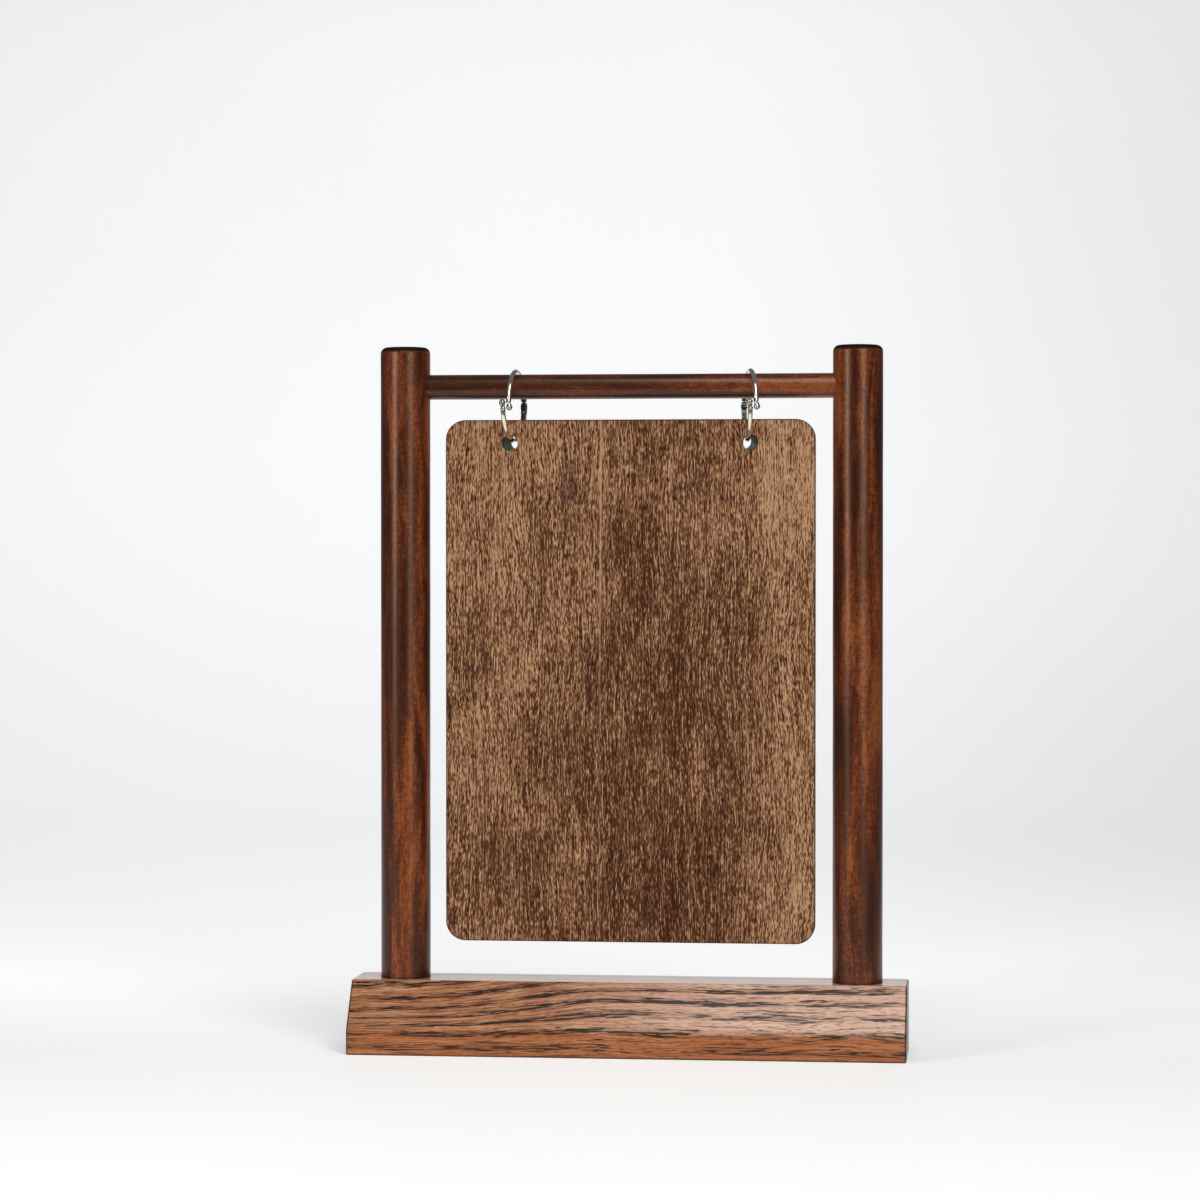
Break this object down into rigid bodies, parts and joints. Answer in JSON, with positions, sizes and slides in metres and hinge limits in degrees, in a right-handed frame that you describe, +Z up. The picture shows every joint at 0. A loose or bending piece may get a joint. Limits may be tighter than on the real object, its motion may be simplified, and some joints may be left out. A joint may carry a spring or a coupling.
{
  "type": "hanging menu board stand",
  "caption": "Tabletop stand: a stained wooden menu board and a backing panel hang on hinged metal rings from a crossbar between round posts on a weighty wooden base with a sloped front.",
  "frame": {"origin": "centre of the base's underside, on the table", "axes": "+X along the base to the right seen from the front, +Y to the back, +Z up"},
  "size_m": [0.223, 0.0416, 0.2832],
  "materials": {
    "base_oak": "open grain, brown stain, satin lacquer",
    "dark_wood": "dark walnut stain, satin lacquer",
    "stained_ply": "stained veneer, dull satin",
    "dark_panel": "matt dark grey-green coating",
    "nickel_wire": "polished nickel plate",
    "nickel_pin": "polished nickel plate",
    "zinc_screw": "yellow zinc plate"
  },
  "bodies": {
    "stand": {"base": "base_oak", "post_left": "dark_wood", "post_right": "dark_wood", "crossbar": "dark_wood", "post_screw_left": "zinc_screw", "post_screw_right": "zinc_screw"},
    "left_ring": {"ring_left_lower": "nickel_wire", "ring_left_pin": "nickel_pin"},
    "left_gate": {"ring_left_upper": "nickel_wire"},
    "right_ring": {"ring_right_lower": "nickel_wire", "ring_right_pin": "nickel_pin"},
    "right_gate": {"ring_right_upper": "nickel_wire"},
    "board": {"menu_board": "stained_ply"},
    "panel": {"back_panel": "dark_panel"}
  },
  "joints": [
    {"name": "left_ring_swing", "type": "hinge", "parent": "stand", "child": "left_ring", "pos_m": [0, 0.006, 0.2671], "axis": [1, 0, 0], "range_deg": [-90, 90]},
    {"name": "right_ring_swing", "type": "hinge", "parent": "stand", "child": "right_ring", "pos_m": [0, 0.006, 0.2671], "axis": [1, 0, 0], "range_deg": [-90, 90]},
    {"name": "left_ring_open", "type": "hinge", "parent": "left_ring", "child": "left_gate", "pos_m": [-0.04477, 0.01971, 0.2594], "axis": [-0.9903, 0.1392, 0], "range_deg": [0, 80]},
    {"name": "right_ring_open", "type": "hinge", "parent": "right_ring", "child": "right_gate", "pos_m": [0.04484, 0.01957, 0.2594], "axis": [-0.9799, -0.1994, 0], "range_deg": [0, 80]},
    {"name": "board_lift", "type": "hinge", "parent": "left_ring", "child": "board", "pos_m": [0, 0.006, 0.2594], "axis": [-1, 0, 0], "range_deg": [0, 60]},
    {"name": "panel_lift", "type": "hinge", "parent": "left_ring", "child": "panel", "pos_m": [0, 0.006, 0.2594], "axis": [1, 0, 0], "range_deg": [0, 60]}
  ],
  "couplings": [
    {"joint": "right_ring_swing", "follows": "left_ring_swing", "ratio": 1}
  ]
}
